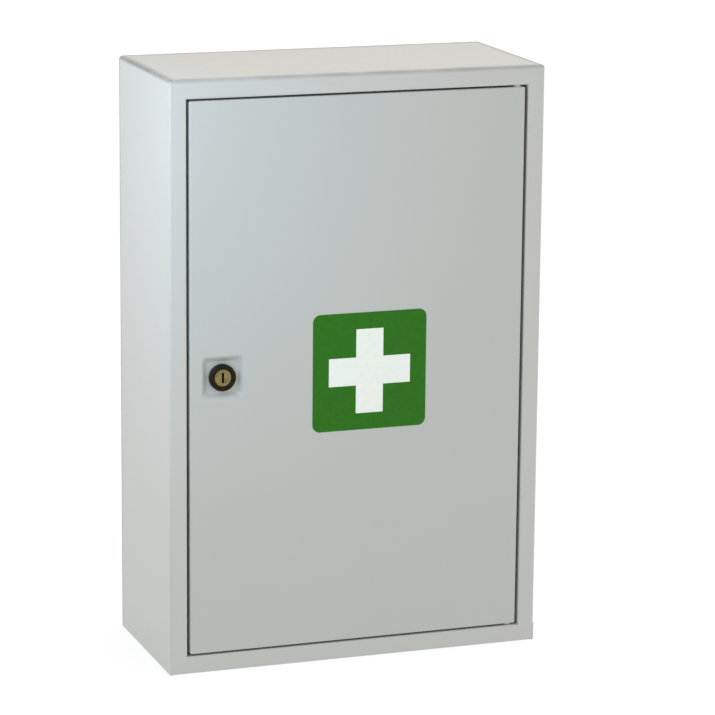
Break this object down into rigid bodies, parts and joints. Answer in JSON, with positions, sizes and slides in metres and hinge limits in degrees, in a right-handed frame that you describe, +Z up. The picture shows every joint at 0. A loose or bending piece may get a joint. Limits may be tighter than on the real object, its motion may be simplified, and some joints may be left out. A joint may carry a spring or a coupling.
{
  "type": "first aid cabinet",
  "caption": "Steel wall cabinet for first aid supplies, with an inset door on pivot pins, a cam lock in a dished recess, shelves, and a green sign with a white cross.",
  "frame": {"origin": "middle of the footprint, on the surface the case stands on", "axes": "+X to the right seen from the front, +Y from the door towards the wall, +Z up"},
  "size_m": [0.3, 0.1366, 0.46],
  "materials": {
    "case_paint": "semi-gloss powder coat",
    "door_paint": "semi-gloss powder coat",
    "zinc_plate": "bright zinc plating",
    "lock_black": "black nickel plating",
    "plug_brass": "turned brass",
    "bush_nylon": "natural nylon",
    "buffer_rubber": "moulded black rubber",
    "sign_green": "printed vinyl",
    "sign_white": "printed vinyl"
  },
  "bodies": {
    "case": {"body_wrap": "case_paint", "bottom_panel": "case_paint", "back_panel": "case_paint", "upper_shelf": "case_paint", "lower_shelf": "case_paint", "left_upper_cleat": "case_paint", "right_upper_cleat": "case_paint", "left_lower_cleat": "case_paint", "right_lower_cleat": "case_paint", "shelf_screws": "zinc_plate", "upper_pivot_pin": "zinc_plate", "lower_pivot_pin": "zinc_plate", "door_buffers": "buffer_rubber"},
    "door": {"door_skin": "door_paint", "door_stiffener": "door_paint", "upper_hinge_plate": "door_paint", "lower_hinge_plate": "door_paint", "upper_bush": "bush_nylon", "lower_bush": "bush_nylon", "lock_housing": "lock_black", "lock_washer": "zinc_plate", "lock_nut": "zinc_plate", "sign_field": "sign_green", "sign_cross": "sign_white"},
    "lock_core": {"lock_plug": "plug_brass", "lock_cam": "zinc_plate", "cam_washer": "zinc_plate", "cam_screw": "zinc_plate"}
  },
  "joints": [
    {"name": "door_hinge", "type": "hinge", "parent": "case", "child": "door", "pos_m": [0.1286, -0.063, 0.2295], "axis": [0, 0, 1], "range_deg": [0, 110]},
    {"name": "lock_turn", "type": "hinge", "parent": "door", "child": "lock_core", "pos_m": [-0.1079, -0.055, 0.23164], "axis": [0, 1, 0], "range_deg": [0, 90]}
  ]
}
